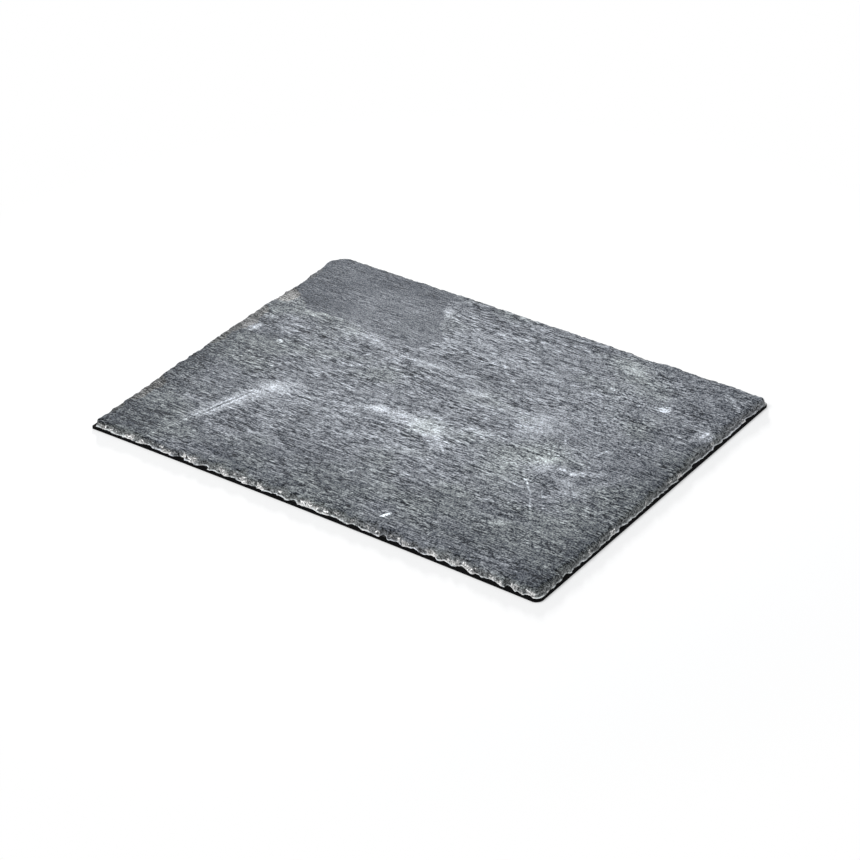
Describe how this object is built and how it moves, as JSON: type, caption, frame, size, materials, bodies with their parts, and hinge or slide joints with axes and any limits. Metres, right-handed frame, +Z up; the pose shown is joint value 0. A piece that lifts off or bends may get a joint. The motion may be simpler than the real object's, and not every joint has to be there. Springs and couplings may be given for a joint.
{
  "type": "slate serving board",
  "caption": "Rectangular slate serving board: a riven stone slab with chipped, hand-dressed edges, stuck by an adhesive film to a thin black foam backing that rests on the table.",
  "frame": {"origin": "middle of the backing's underside, on the surface that the board stands on", "axes": "+X along the board's length, +Y across its width towards the back edge, +Z up out of the riven serving face"},
  "size_m": [0.4, 0.3, 0.0072],
  "materials": {
    "slate": "matte",
    "adhesive": "satin",
    "foam": "matte"
  },
  "bodies": {
    "root": {"slate_slab": "slate", "adhesive_film": "adhesive", "foam_backing": "foam"}
  },
  "joints": []
}
